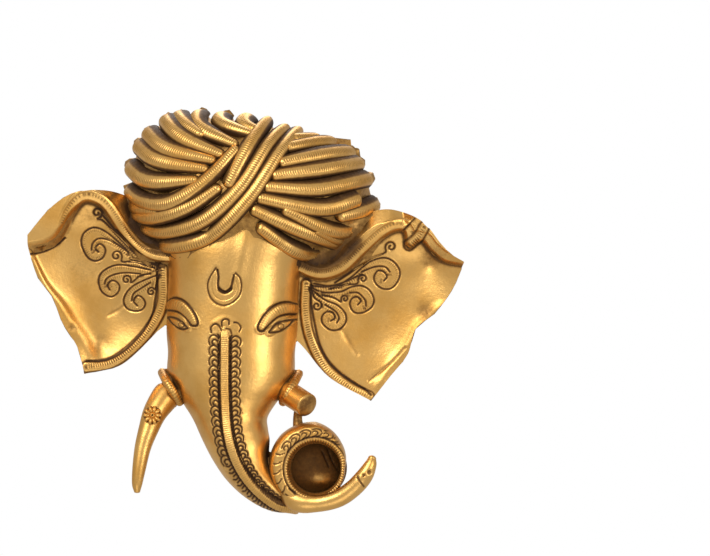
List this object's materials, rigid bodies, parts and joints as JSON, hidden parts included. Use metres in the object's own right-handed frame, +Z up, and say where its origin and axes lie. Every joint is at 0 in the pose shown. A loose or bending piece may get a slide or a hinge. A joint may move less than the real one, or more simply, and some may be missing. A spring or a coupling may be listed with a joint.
{
  "type": "elephant-headed wall mask",
  "caption": "Cast brass wall mask of an elephant-headed face in a folded turban, hollow behind, hung by a lug.",
  "frame": {"origin": "centre of the nail hole in the hanging lug, in the plane of the wall", "axes": "+X to the right as the mask is seen, +Y into the wall, +Z up; the face looks along -Y"},
  "size_m": [0.2196, 0.0596, 0.2042],
  "materials": {
    "antique_brass": "polished casting with dark patina in the folds and engraving"
  },
  "bodies": {
    "root": {"ganesha_mask": "antique_brass"}
  },
  "joints": []
}
